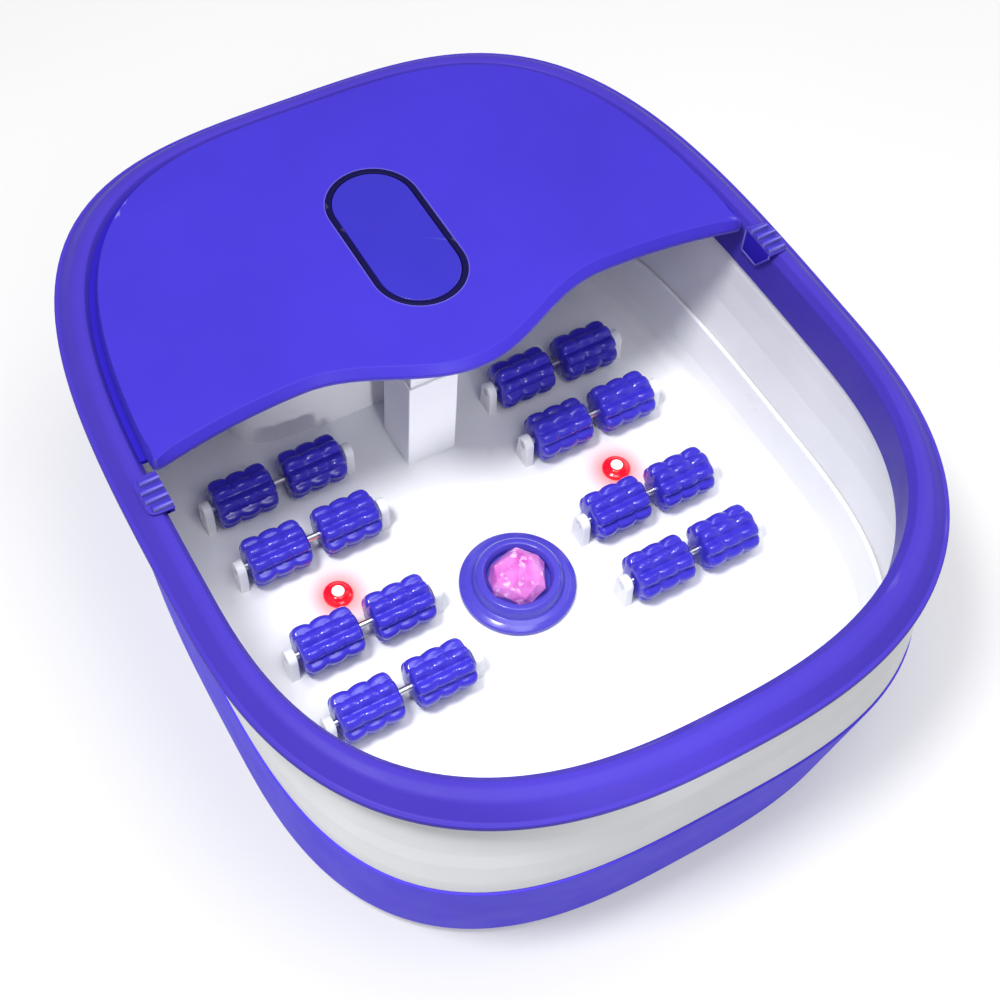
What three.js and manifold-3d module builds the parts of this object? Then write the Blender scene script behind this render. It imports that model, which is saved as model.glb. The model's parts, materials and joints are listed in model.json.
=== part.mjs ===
// A folding pedicure foot bath: a rigid base with massage rollers, a soft wall that folds down,
// a rigid rim, and a hinged half lid that carries the control panel.
// Millimetres, +Z up, front towards -Y, origin on the floor under the middle of the rim.

import * as THREE from 'three';
import { mergeVertices } from 'three/addons/utils/BufferGeometryUtils.js';
import Module from 'manifold-3d';

const library = await Module();
library.setup();

// ---------------------------------------------------------------- driving dimensions

// Plan outlines: a front and a back half-superellipse that meet on the line y = JOIN_Y.
const JOIN_Y = -47.1;
const RIM = { side: 180, front: 171, back: 265.2, frontPower: 2.58, backPower: 3.4, frontInset: 1.45 };
const BASE_TOP = {
  side: 176.5, front: 175.7, back: 265.3, frontPower: 3.15, backPower: 3.4, frontInset: 1,
};
const BASE_BOTTOM = {
  side: 171.5, front: 164.8, back: 257.5, frontPower: 2.85, backPower: 3, frontInset: 1,
};
const CENTRE = { side: 0, front: 0, back: 0, frontPower: 2, backPower: 2, frontInset: 1 };
const RING_SEGMENTS = 56;

// Heights above the floor.
const FOOT_HEIGHT = 3.7;
const BASE_BOTTOM_Z = 4;
const BASE_TOP_Z = 88;
const PLATE_TOP_Z = 6.5;
const FLOOR_Z = 28;
const TRAY_TOP_Z = 71;
const WALL_BOTTOM_Z = 60;
const WALL_TOP_Z = 158;
const SKIRT_BOTTOM_Z = 154.4;
const RIM_INNER_BOTTOM_Z = 134.5;
const RIM_REAR_BOTTOM_Z = 152;
const RIM_TOP_Z = 165.2;
const LEDGE_TOP_Z = 162.5;
const LID_BOTTOM_Z = 162.8;
const LID_TOP_Z = 169.6;

// Walls and running gaps.
const SHELL = 2.5;
const GAP = 0.3;
const SKIRT_FLARE = 7.6;
const RIM_INSET = 9.9;
const RIM_STEP_Y = 95;
const LEDGE = { frontY: 32, reach: 6.5, hingeHalfWidth: 78, hingeY: 170 };
const TRAY_WALL_OUTSIDE = -6.6;
const TRAY_WALL_INSIDE = -9.1;
const FLOOR_EDGE = -20;

// Lid, hinge and control panel.
const LID_INSET = 12.8;
const LID_WALL = 2.6;
const LID_PLATE = 3;
const LID_CORNER_Y = 22.5;
const LID_SHOULDER = { x: 85, y: 32.5 };
const LID_BULGE = 25.5;
const HINGE = { x: 40, y: 200, z: 165.4, pinRadius: 0.8, pinLength: 18, knuckleRadius: 2 };
const HINGE_ARM = { width: 6, leg: [-4, -1], run: [-10.2, -7.9], wallY: 208.6 };
const HINGE_EAR = { width: 7, front: -2.4, back: 2.2 };
const PANEL = { y: 97.7, radius: 25.1, straight: 24.6, seal: 3 };
const HOUSING = { radius: 28.4, bottomZ: 160, wall: 1.6 };

// Rollers, lights and the massage stone.
const ROLLER_ROWS = [70, 28, -33, -77];
const ROLLER_COLUMNS = [67.5, 109.5];
const ROLLER = { radius: 12.7, lobe: 1.3, lobes: 8, length: 34, axisZ: 43 };
const AXLE_RADIUS = 2;
const POST = { inner: 46, outer: 131, thickness: 5, width: 10 };
const LIGHT = { x: 88.5, y: -3, holeRadius: 6, headRadius: 8 };
const STONE_Y = -43;

// Column that carries the panel's wires through the water.
const COLUMN = { y: 69, outer: 30, innerOuter: 27, wall: 1.2 };
const SLEEVE_TOP_Z = 97.5;
const INNER_COLUMN = { bottomZ: 75, topZ: 159.7 };

// Rear housing raised in the tray over the pump and the board.
const HUMP = { centreY: 148, side: 94, front: 44, back: 44, frontPower: 5, backPower: 5, frontInset: 1 };
const HUMP_TOP_Z = 66;

// Feet and screws.
const FOOT_PLACES = [[-105, -130], [105, -130], [105, 150], [-105, 150]];
const SCREW_PLACES = [[-125, -95], [125, -95], [125, 100], [-125, 100]];
const FOOT_RADIUS = 11;
const SCREW = { headRadius: 3.5, shankRadius: 1.5, tipZ: 18 };

// Pieces inside the base.
const INLET = {
  halfWidth: 11,
  low: 9,
  high: 21,
  front: 193,
  back: 211.2,
  wall: 3.5,
  mouthFront: 201,
  pinEnd: 206,
};
const HEATER = {
  halfWidth: 60,
  front: -150,
  back: -80,
  bottomZ: 17.2,
  fins: 5,
  finDepth: 3,
  finPitch: 13,
  slot: 5,
};
const PUMP = {
  y: 150,
  z: 30,
  radius: 15,
  motor: [16, 56],
  head: [56, 74],
  nozzle: [74, 84],
  nozzleRadius: 2.5,
};
const BOARD = { x: [-90, -20], y: [125, 175], bottomZ: 14, thickness: 1.6, legRadius: 2.5, legInset: 5 };
const LIGHT_BOARD = { half: 10, bottomZ: 17, legRadius: 1.5, legInset: 2.5 };

// Latches that hold the lid's front corners.
const LATCH = { x: 166.5, width: 12.5, y: -1.5, length: 23, ribs: 4, pad: 1.8, ribHeight: 2.2 };
const LATCH_TAB = { bottomZ: 150, tipY: 7.5, frontZ: 163, inset: 0.5 };

// ---------------------------------------------------------------- materials

function plastic(color, roughness = 0.38) {
  return new THREE.MeshStandardMaterial({ color, roughness, metalness: 0 });
}

const MATERIALS = {
  purple: plastic(0x5342e3),
  panel: plastic(0x443cd0, 0.25),
  white: plastic(0xeff0f2),
  silicone: plastic(0xf1f1f2, 0.6),
  roller: plastic(0x2f2aa8, 0.3),
  seal: plastic(0x16104f, 0.5),
  rubber: plastic(0x3a3a40, 0.9),
  board: plastic(0x1f6b3a, 0.6),
  black: plastic(0x1b1b1e, 0.5),
  stone: plastic(0xe66ec8, 0.3),
  steel: new THREE.MeshStandardMaterial({ color: 0xb9bcc2, roughness: 0.3, metalness: 1 }),
  light: new THREE.MeshStandardMaterial({
    color: 0xff1e28,
    roughness: 0.2,
    metalness: 0,
    emissive: 0xff1010,
  }),
};

// ---------------------------------------------------------------- solids

const WELD = 1e-3;

// Welds a closed geometry into a solid, with its faces pointing out.
function toSolid(geometry) {
  const bare = geometry.clone();
  bare.deleteAttribute('normal');
  bare.deleteAttribute('uv');
  const welded = mergeVertices(bare, WELD);
  const vertProperties = new Float32Array(welded.attributes.position.array);
  const triangles = [];
  for (let i = 0; i < welded.index.count; i += 3) {
    const corners = [0, 1, 2].map((step) => welded.index.getX(i + step));
    if (new Set(corners).size === 3) triangles.push(...corners);
  }
  if (signedVolume(vertProperties, triangles) < 0) triangles.reverse();
  const triVerts = new Uint32Array(triangles);
  return new library.Manifold(new library.Mesh({ numProp: 3, vertProperties, triVerts }));
}

function signedVolume(positions, triangles) {
  const corner = (index) => new THREE.Vector3().fromArray(positions, 3 * triangles[index]);
  let volume = 0;
  for (let i = 0; i < triangles.length; i += 3) {
    volume += corner(i).dot(corner(i + 1).cross(corner(i + 2))) / 6;
  }
  return volume;
}

function toGeometry(solid) {
  const mesh = solid.getMesh();
  const geometry = new THREE.BufferGeometry();
  geometry.setAttribute('position', new THREE.BufferAttribute(mesh.vertProperties, 3));
  geometry.setIndex(new THREE.BufferAttribute(mesh.triVerts, 1));
  geometry.computeVertexNormals();
  return geometry;
}

function piece(name, solid, material) {
  const mesh = new THREE.Mesh(toGeometry(solid), MATERIALS[material].clone());
  mesh.name = name;
  return mesh;
}

// A block between two corners.
function block(low, high) {
  const size = high.map((value, axis) => value - low[axis]);
  const geometry = new THREE.BoxGeometry(...size);
  geometry.translate(...low.map((value, axis) => value + size[axis] / 2));
  return toSolid(geometry);
}

// An upright cylinder from lowZ to highZ.
function post(radius, x, y, lowZ, highZ, segments = 16) {
  const geometry = new THREE.CylinderGeometry(radius, radius, highZ - lowZ, segments);
  geometry.rotateX(Math.PI / 2);
  geometry.translate(x, y, (lowZ + highZ) / 2);
  return toSolid(geometry);
}

// A cylinder along X, from lowX to highX.
function rod(radius, lowX, highX, y, z, segments = 16) {
  const geometry = new THREE.CylinderGeometry(radius, radius, highX - lowX, segments);
  geometry.rotateZ(Math.PI / 2);
  geometry.translate((lowX + highX) / 2, y, z);
  return toSolid(geometry);
}

// A plan shape raised from lowZ to highZ, with both edges bevelled.
function slab(shape, lowZ, highZ, bevel = 0) {
  const geometry = new THREE.ExtrudeGeometry(shape, {
    depth: highZ - lowZ - 2 * bevel,
    curveSegments: 7,
    bevelEnabled: bevel > 0,
    bevelSize: bevel,
    bevelOffset: -bevel,
    bevelThickness: bevel,
    bevelSegments: 1,
  });
  geometry.translate(0, 0, lowZ + bevel);
  return toSolid(geometry);
}

// A shape drawn in the YZ plane and extruded along X from lowX.
function slabAlongX(shape, lowX, length, y = 0, z = 0) {
  const options = { depth: length, bevelEnabled: false, curveSegments: 4 };
  const geometry = new THREE.ExtrudeGeometry(shape, options);
  geometry.rotateX(Math.PI / 2);
  geometry.rotateZ(Math.PI / 2);
  geometry.translate(lowX, y, z);
  return toSolid(geometry);
}

// A turned piece: radius and height pairs about an upright axis.
function turned(profile, x, y, segments = 32) {
  const points = profile.map(([radius, z]) => new THREE.Vector2(radius, z));
  const geometry = new THREE.LatheGeometry(points, segments);
  geometry.rotateX(Math.PI / 2);
  geometry.translate(x, y, 0);
  return toSolid(geometry);
}

// ---------------------------------------------------------------- plan outlines

function mix(from, to, share) {
  const blended = {};
  for (const key of Object.keys(from)) blended[key] = from[key] + (to[key] - from[key]) * share;
  return blended;
}

function outlinePoint(outline, grow, angle) {
  const across = Math.cos(angle);
  const along = Math.sin(angle);
  const inFront = along < 0;
  const power = 2 / (inFront ? outline.frontPower : outline.backPower);
  const frontGrow = grow < 0 ? grow * outline.frontInset : grow;
  const reach = inFront ? outline.front + frontGrow : outline.back + grow;
  const x = (outline.side + grow) * Math.sign(across) * Math.abs(across) ** power;
  const y = (outline.centreY ?? JOIN_Y) + reach * Math.sign(along) * Math.abs(along) ** power;
  return new THREE.Vector2(x, y);
}

function baseOutline(z) {
  return mix(BASE_BOTTOM, BASE_TOP, (z - BASE_BOTTOM_Z) / (BASE_TOP_Z - BASE_BOTTOM_Z));
}

function wallOutline(z) {
  const share = THREE.MathUtils.clamp((z - BASE_TOP_Z) / (WALL_TOP_Z - BASE_TOP_Z), 0, 1);
  return z < BASE_TOP_Z ? baseOutline(z) : mix(BASE_TOP, RIM, share);
}

// Sweeps a profile of [outline, grow, z] stations around the plan outline.
function swept(stations, segments = RING_SEGMENTS) {
  const points = stations.map((station, row) => new THREE.Vector2(row + 1, station[2]));
  const geometry = new THREE.LatheGeometry(points, segments);
  const position = geometry.attributes.position;
  for (let column = 0; column <= segments; column += 1) {
    const angle = ((column % segments) / segments) * 2 * Math.PI;
    stations.forEach(([outline, grow, z], row) => {
      const point = outlinePoint(outline, grow, angle);
      position.setXYZ(column * stations.length + row, point.x, point.y, z);
    });
  }
  return toSolid(geometry);
}

function closed(stations) {
  return [...stations, stations[0]];
}

function stadium(radius, straight, centreY) {
  const shape = new THREE.Shape();
  shape.moveTo(radius, centreY - straight);
  shape.lineTo(radius, centreY + straight);
  shape.absarc(0, centreY + straight, radius, 0, Math.PI, false);
  shape.lineTo(-radius, centreY - straight);
  shape.absarc(0, centreY - straight, radius, Math.PI, 2 * Math.PI, false);
  return shape;
}

function squareShape(size, centreY) {
  const half = size / 2;
  const shape = new THREE.Shape();
  shape.moveTo(-half, centreY - half);
  shape.lineTo(half, centreY - half);
  shape.lineTo(half, centreY + half);
  shape.lineTo(-half, centreY + half);
  shape.closePath();
  return shape;
}

function mirrored(side, low, high) {
  return side > 0 ? [low, high] : [-high, -low];
}

// ---------------------------------------------------------------- base

function baseBand() {
  const onBase = (grow, z) => [baseOutline(z), grow, z];
  const shell = swept(closed([
    onBase(-1.6, BASE_BOTTOM_Z),
    onBase(-0.4, 6),
    onBase(0, 9.5),
    onBase(0, 86.6),
    onBase(-0.5, BASE_TOP_Z),
    onBase(-2.2, BASE_TOP_Z),
    onBase(-SHELL, 87),
    onBase(-SHELL, 9.5),
    onBase(-3, BASE_BOTTOM_Z),
  ]));
  const inletHole = block([-11.4, 190, 8.6], [11.4, 230, 21.4]);
  return piece('base_band', shell.subtract(inletHole), 'purple');
}

function bottomPlate() {
  const plate = swept([
    [CENTRE, 0, BASE_BOTTOM_Z],
    [BASE_BOTTOM, -4, BASE_BOTTOM_Z],
    [BASE_BOTTOM, -4, PLATE_TOP_Z],
    [CENTRE, 0, PLATE_TOP_Z],
  ]);
  let drilled = plate;
  for (const [x, y] of SCREW_PLACES) {
    drilled = drilled.subtract(post(SCREW.shankRadius + GAP, x, y, 0, PLATE_TOP_Z + 2, 12));
  }
  return piece('bottom_plate', drilled, 'white');
}

function foot(name, [x, y]) {
  const profile = [
    [0, 0],
    [FOOT_RADIUS - 1, 0],
    [FOOT_RADIUS, 1],
    [FOOT_RADIUS, FOOT_HEIGHT],
    [0, FOOT_HEIGHT],
  ];
  return piece(name, turned(profile, x, y, 16), 'rubber');
}

function baseScrew(name, [x, y]) {
  const profile = [
    [0, 2],
    [SCREW.headRadius, 2],
    [SCREW.headRadius, BASE_BOTTOM_Z - GAP],
    [SCREW.shankRadius, BASE_BOTTOM_Z - GAP],
    [SCREW.shankRadius, SCREW.tipZ],
    [0, SCREW.tipZ + 1.5],
  ];
  return piece(name, turned(profile, x, y, 8), 'steel');
}

// White tray: floor, wall, roller posts, screw bosses and the hump over the pump.
function tubTray() {
  const onBase = (grow, z) => [baseOutline(z), grow, z];
  let tray = swept([
    [CENTRE, 0, FLOOR_Z],
    onBase(FLOOR_EDGE, FLOOR_Z),
    onBase(-14, 30),
    onBase(TRAY_WALL_INSIDE, 42),
    onBase(TRAY_WALL_INSIDE, TRAY_TOP_Z),
    onBase(TRAY_WALL_OUTSIDE, TRAY_TOP_Z),
    onBase(TRAY_WALL_OUTSIDE, 40),
    onBase(-11, 29),
    onBase(FLOOR_EDGE, FLOOR_Z - SHELL),
    [CENTRE, 0, FLOOR_Z - SHELL],
  ]);
  tray = tray.add(humpShell(0, FLOOR_Z - SHELL)).subtract(humpShell(SHELL, FLOOR_Z - 2 * SHELL));
  for (const side of [-1, 1]) {
    for (const rowY of ROLLER_ROWS) {
      tray = tray.add(rollerPost(side, POST.inner, rowY)).add(rollerPost(side, POST.outer, rowY));
    }
    tray = tray.subtract(post(LIGHT.holeRadius + GAP, side * LIGHT.x, LIGHT.y, 20, 40));
  }
  for (const [x, y] of SCREW_PLACES) {
    const boss = post(4, x, y, PLATE_TOP_Z + GAP, FLOOR_Z - 1, 16);
    tray = tray.add(boss.subtract(post(SCREW.shankRadius + GAP, x, y, 0, SCREW.tipZ + 3, 12)));
  }
  const passage = slab(squareShape(COLUMN.outer - 2 * COLUMN.wall - GAP, COLUMN.y), 20, 40);
  return piece('tub_tray', tray.subtract(passage), 'white');
}

function humpShell(inset, bottomZ) {
  return swept([
    [{ ...CENTRE, centreY: HUMP.centreY }, 0, HUMP_TOP_Z - inset],
    [HUMP, -8 - inset, HUMP_TOP_Z - inset],
    [HUMP, -3 - inset, HUMP_TOP_Z - 3 - inset],
    [HUMP, -2 - inset, HUMP_TOP_Z - 8 - inset],
    [HUMP, 1.5 - inset, bottomZ],
    [{ ...CENTRE, centreY: HUMP.centreY }, 0, bottomZ],
  ], 32);
}

function rollerPost(side, x, y) {
  const half = POST.width / 2;
  const shape = new THREE.Shape();
  shape.moveTo(-half, FLOOR_Z - 1 - ROLLER.axisZ);
  shape.lineTo(half, FLOOR_Z - 1 - ROLLER.axisZ);
  shape.lineTo(half, 0);
  shape.absarc(0, 0, half, 0, Math.PI, false);
  shape.closePath();
  const bore = new THREE.Path();
  bore.absarc(0, 0, AXLE_RADIUS + GAP, 0, 2 * Math.PI, true);
  shape.holes.push(bore);
  return slabAlongX(shape, side * x - POST.thickness / 2, POST.thickness, y, ROLLER.axisZ);
}

// Soft folding wall: a thin skin with a fold line halfway up, beaded into the base and the rim.
function softWall() {
  const onWall = (grow, z) => [wallOutline(z), grow, z];
  const skin = swept(closed([
    onWall(-SHELL - GAP, WALL_BOTTOM_Z),
    onWall(-SHELL - GAP, BASE_TOP_Z + GAP),
    onWall(-0.8, BASE_TOP_Z + 0.8),
    onWall(0.6, 97),
    onWall(0.9, 110),
    onWall(-0.4, 122),
    onWall(-0.2, 140),
    onWall(-1, WALL_TOP_Z),
    onWall(-4.4, WALL_TOP_Z),
    onWall(-4.4, 136),
    onWall(-5.4, 130),
    onWall(-6.8, 124),
    onWall(-5, 112),
    onWall(-5.2, 94),
    onWall(-6.2, TRAY_TOP_Z + 1.5),
    onWall(-6.2, WALL_BOTTOM_Z),
  ]));
  return piece('soft_wall', skin, 'silicone');
}

// Mains inlet in the back of the base: a block with a mouth and two contact pins.
function powerInlet() {
  const { halfWidth, low, high, front, back, wall, mouthFront, pinEnd } = INLET;
  const body = block([-halfWidth, front, low], [halfWidth, back, high]);
  const mouth = block([wall - halfWidth, mouthFront, low + 2.5], [halfWidth - wall, back + 5, high - 2.5]);
  const middle = (low + high) / 2;
  let inlet = body.subtract(mouth);
  for (const x of [-4, 4]) {
    inlet = inlet.add(block([x - 1.1, mouthFront - 1, middle - 1.1], [x + 1.1, pinEnd, middle + 1.1]));
  }
  return piece('power_inlet', inlet, 'black');
}

// ---------------------------------------------------------------- inside the base

// Heating plate under the tray floor, with slots cut in its underside.
function heater() {
  const { halfWidth, front, back, bottomZ, fins, finDepth, finPitch, slot } = HEATER;
  const topZ = FLOOR_Z - SHELL - GAP;
  let plate = block([-halfWidth, front, bottomZ], [halfWidth, back, topZ]);
  for (let fin = 0; fin < fins; fin += 1) {
    const y = front + 7 + fin * finPitch;
    plate = plate.subtract(block([2 - halfWidth, y, 0], [halfWidth - 2, y + slot, bottomZ + finDepth]));
  }
  return piece('heater', plate, 'steel');
}

// Air pump standing on the bottom plate: a round motor, a square head, a nozzle and a foot.
function airPump() {
  const { y, z, radius, motor, head, nozzle, nozzleRadius } = PUMP;
  const pumpHead = block([head[0], y - 14, z - 14], [head[1], y + 14, z + 14]);
  const stand = block([motor[0] + 5, y - 10, PLATE_TOP_Z + GAP], [head[1] - 2, y + 10, z - 10]);
  const body = rod(radius, ...motor, y, z, 20).add(pumpHead).add(stand);
  return piece('air_pump', body.add(rod(nozzleRadius, ...nozzle, y, z, 10)), 'black');
}

// Circuit board on four legs, with a chip block and a relay.
function driverBoard() {
  const { x, y, bottomZ, thickness, legRadius, legInset } = BOARD;
  const topZ = bottomZ + thickness;
  let board = block([x[0], y[0], bottomZ], [x[1], y[1], topZ]);
  for (const legX of [x[0] + legInset, x[1] - legInset]) {
    for (const legY of [y[0] + legInset, y[1] - legInset]) {
      board = board.add(post(legRadius, legX, legY, PLATE_TOP_Z + GAP, bottomZ + 1, 8));
    }
  }
  const chips = block([x[0] + 10, y[0] + 10, topZ - 0.1], [x[0] + 30, y[0] + 25, topZ + 6]);
  const relay = block([x[1] - 30, y[0] + 15, topZ - 0.1], [x[1] - 12, y[0] + 35, topZ + 12]);
  return piece('driver_board', board.add(chips).add(relay), 'board');
}

// Small board hung under the tray on two legs, with a diode that shines into the lens.
function ledBoard(name, side) {
  const { half, bottomZ, legRadius, legInset } = LIGHT_BOARD;
  const topZ = bottomZ + BOARD.thickness;
  const [low, high] = mirrored(side, LIGHT.x - half, LIGHT.x + half);
  let board = block([low, LIGHT.y - half, bottomZ], [high, LIGHT.y + half, topZ]);
  for (const x of [low + legInset, high - legInset]) {
    board = board.add(post(legRadius, x, LIGHT.y + half - legInset, topZ - 0.1, FLOOR_Z - SHELL - GAP, 8));
  }
  return piece(name, board.add(post(2.5, side * LIGHT.x, LIGHT.y, topZ - 0.1, 22, 12)), 'board');
}

// ---------------------------------------------------------------- tub fittings

function ledLens(name, side) {
  const profile = [
    [0, 24],
    [LIGHT.holeRadius, 24],
    [LIGHT.holeRadius, FLOOR_Z + GAP],
    [LIGHT.headRadius, FLOOR_Z + GAP],
    [LIGHT.headRadius - 0.4, 29.8],
    [5.6, 31.8],
    [3, 32.8],
    [0, 33.1],
  ];
  return piece(name, turned(profile, side * LIGHT.x, LIGHT.y, 16), 'light');
}

function stoneCup() {
  const profile = [
    [0, FLOOR_Z + GAP],
    [32, FLOOR_Z + GAP],
    [32, 30.5],
    [29.5, 33],
    [24, 35],
    [22.5, 38],
    [21, 40],
    [18.5, 40],
    [17.6, 38],
    [17.6, 33],
    [0, 33],
  ];
  return piece('stone_cup', turned(profile, 0, STONE_Y, 28), 'roller');
}

// Faceted dome: a coarse turned shape whose rings are twisted and pulled in unevenly.
function massageStone() {
  const profile = [[0, 33.4], [16.2, 33.4], [16.8, 39], [14, 45], [8, 48.8], [0, 49.8]];
  const facets = 7;
  const twist = 0.04;
  const geometry = new THREE.LatheGeometry(profile.map(([r, z]) => new THREE.Vector2(r, z)), facets);
  geometry.rotateX(Math.PI / 2);
  const position = geometry.attributes.position;
  for (let i = 0; i < position.count; i += 1) {
    const point = new THREE.Vector3().fromBufferAttribute(position, i);
    const angle = Math.atan2(point.y, point.x);
    const reach = Math.hypot(point.x, point.y) * (1 - 0.06 * (1 + Math.sin(3 * angle + point.z)) / 2);
    const turnedAngle = angle + twist * (point.z - 33.4);
    position.setXYZ(i, reach * Math.cos(turnedAngle), reach * Math.sin(turnedAngle), point.z);
  }
  geometry.translate(0, STONE_Y, 0);
  return piece('massage_stone', toSolid(geometry), 'stone');
}

function squareTube(outer, lowZ, highZ) {
  const bore = slab(squareShape(outer - 2 * COLUMN.wall, COLUMN.y), lowZ - 5, highZ + 5);
  return slab(squareShape(outer, COLUMN.y), lowZ, highZ).subtract(bore);
}

function columnSleeve() {
  return piece('column_sleeve', squareTube(COLUMN.outer, FLOOR_Z + GAP, SLEEVE_TOP_Z), 'white');
}

function columnInner() {
  const tube = squareTube(COLUMN.innerOuter, INNER_COLUMN.bottomZ, INNER_COLUMN.topZ);
  return piece('column_inner', tube, 'white');
}

// ---------------------------------------------------------------- rollers

// A roller with rounded lobes, along X, centred on its own axle line.
function rollerSolid() {
  const steps = 3 * ROLLER.lobes;
  const points = Array.from({ length: steps }, (_, step) => {
    const angle = (step / steps) * 2 * Math.PI;
    const radius = ROLLER.radius + ROLLER.lobe * Math.cos(ROLLER.lobes * angle);
    return new THREE.Vector2(radius * Math.cos(angle), radius * Math.sin(angle));
  });
  const shape = new THREE.Shape(points);
  const bore = new THREE.Path();
  bore.absarc(0, 0, AXLE_RADIUS + GAP, 0, 2 * Math.PI, true);
  shape.holes.push(bore);
  return slabAlongX(shape, -ROLLER.length / 2, ROLLER.length);
}

// One axle with its two rollers, which turn together between two posts.
function rollerSet(side, sideName, row) {
  const group = new THREE.Group();
  group.position.set(0, ROLLER_ROWS[row], ROLLER.axisZ);
  const ends = [POST.inner - POST.thickness / 2, POST.outer + POST.thickness / 2];
  const [low, high] = mirrored(side, ...ends);
  group.add(piece(`axle_${sideName}_${row + 1}`, rod(AXLE_RADIUS, low, high, 0, 0, 12), 'steel'));
  ROLLER_COLUMNS.forEach((x, column) => {
    const place = column === 0 ? 'inner' : 'outer';
    const roller = piece(`roller_${sideName}_${row + 1}_${place}`, rollerSolid(), 'roller');
    roller.position.x = side * x;
    group.add(roller);
  });
  return group;
}

// ---------------------------------------------------------------- rim and latches

function rimShell() {
  const onRim = (grow, z) => [RIM, grow, z];
  return swept(closed([
    onRim(SKIRT_FLARE, SKIRT_BOTTOM_Z),
    onRim(SKIRT_FLARE - 0.3, SKIRT_BOTTOM_Z + 2),
    onRim(1.4, RIM_TOP_Z - 2.2),
    onRim(0.2, RIM_TOP_Z - 0.9),
    onRim(-1.6, RIM_TOP_Z - 0.2),
    onRim(-5, RIM_TOP_Z),
    onRim(-8.6, RIM_TOP_Z - 0.2),
    onRim(-RIM_INSET, RIM_TOP_Z - 1.4),
    onRim(-RIM_INSET, RIM_INNER_BOTTOM_Z),
    onRim(-RIM_INSET + SHELL, RIM_INNER_BOTTOM_Z),
    onRim(-RIM_INSET + SHELL, RIM_TOP_Z - 3.2),
    onRim(-1, RIM_TOP_Z - 3.2),
    onRim(SKIRT_FLARE - SHELL - 0.6, SKIRT_BOTTOM_Z),
  ]));
}

// Ledge inside the back of the rim, which the lid rests on. It stops short of the hinge arms.
function lidLedge() {
  const onRim = (grow, z) => [RIM, grow, z];
  const ring = swept(closed([
    onRim(-RIM_INSET + 0.5, LEDGE_TOP_Z - SHELL),
    onRim(-RIM_INSET + 0.5, LEDGE_TOP_Z),
    onRim(-RIM_INSET - LEDGE.reach, LEDGE_TOP_Z),
    onRim(-RIM_INSET - LEDGE.reach, LEDGE_TOP_Z - SHELL),
  ]));
  const behindCorners = block([-200, LEDGE.frontY, 150], [200, 260, 170]);
  const hingeSpace = block([-LEDGE.hingeHalfWidth, LEDGE.hingeY, 150], [LEDGE.hingeHalfWidth, 260, 170]);
  return ring.intersect(behindCorners).subtract(hingeSpace);
}

// Arm that reaches from the rim's inner wall, under the lid's back edge and up to the hinge pin.
function hingeArm(side) {
  const { width, leg, run, wallY } = HINGE_ARM;
  const [low, high] = mirrored(side, HINGE.x - width / 2, HINGE.x + width / 2);
  const upright = block([low, HINGE.y + leg[0], HINGE.z + run[0]], [high, HINGE.y + leg[1], HINGE.z]);
  const foot = block([low, HINGE.y + leg[0], HINGE.z + run[0]], [high, wallY, HINGE.z + run[1]]);
  return upright.add(foot).add(rod(HINGE.knuckleRadius, low, high, HINGE.y, HINGE.z, 16));
}

function pinBore(side) {
  const half = HINGE.pinLength / 2 + GAP;
  const [low, high] = mirrored(side, HINGE.x - half, HINGE.x + half);
  return rod(HINGE.pinRadius + GAP, low, high, HINGE.y, HINGE.z, 12);
}

function rim() {
  const rearStep = block([-200, RIM_STEP_Y, RIM_INNER_BOTTOM_Z - 5], [200, 260, RIM_REAR_BOTTOM_Z]);
  let solid = rimShell().subtract(rearStep).add(lidLedge());
  for (const side of [-1, 1]) {
    solid = solid.add(hingeArm(side)).subtract(pinBore(side));
  }
  return piece('rim', solid, 'purple');
}

function hingePin(name, side) {
  const half = HINGE.pinLength / 2;
  const [low, high] = mirrored(side, HINGE.x - half, HINGE.x + half);
  return piece(name, rod(HINGE.pinRadius, low, high, HINGE.y, HINGE.z, 12), 'steel');
}

// Latch: a pad on top of the rim with stair-like ribs, and a tab that hangs inside the rim.
function latch(name, side) {
  const top = RIM_TOP_Z + GAP;
  const [low, high] = mirrored(side, LATCH.x, LATCH.x + LATCH.width);
  const back = LATCH.y + LATCH.length;
  let solid = block([low, LATCH.y, top], [high, back, top + LATCH.pad]);
  const pitch = LATCH.length / LATCH.ribs;
  for (let rib = 0; rib < LATCH.ribs; rib += 1) {
    const shape = new THREE.Shape();
    shape.moveTo(0, 0);
    shape.lineTo(pitch - 1.5, 0);
    shape.lineTo(1, LATCH.ribHeight);
    shape.lineTo(0, LATCH.ribHeight);
    shape.closePath();
    const start = LATCH.y + rib * pitch + 0.5;
    solid = solid.add(slabAlongX(shape, low + 1, LATCH.width - 2, start, top + LATCH.pad - 0.1));
  }
  const tab = new THREE.Shape();
  tab.moveTo(LATCH.y + LATCH_TAB.inset, top + 1);
  tab.lineTo(LATCH.y + LATCH_TAB.inset, LATCH_TAB.frontZ);
  tab.lineTo(LATCH_TAB.tipY, LATCH_TAB.bottomZ);
  tab.lineTo(back - LATCH_TAB.inset, LATCH_TAB.bottomZ);
  tab.lineTo(back - LATCH_TAB.inset, top + 1);
  tab.closePath();
  const [tabLow] = mirrored(side, LATCH.x, LATCH.x + SHELL);
  return piece(name, solid.add(slabAlongX(tab, tabLow, SHELL)), 'purple');
}

// ---------------------------------------------------------------- lid

// Line of the lid's front edge: set-forward corners, shoulders further back and a middle bulge.
function frontEdgeY(x, cornerX) {
  const reach = Math.abs(x);
  if (reach > LID_SHOULDER.x) {
    const share = (reach - LID_SHOULDER.x) / (cornerX - LID_SHOULDER.x);
    return THREE.MathUtils.lerp(LID_SHOULDER.y, LID_CORNER_Y, share ** 2);
  }
  return LID_SHOULDER.y - LID_BULGE * Math.cos((Math.PI * reach) / (2 * LID_SHOULDER.x)) ** 2;
}

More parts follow.
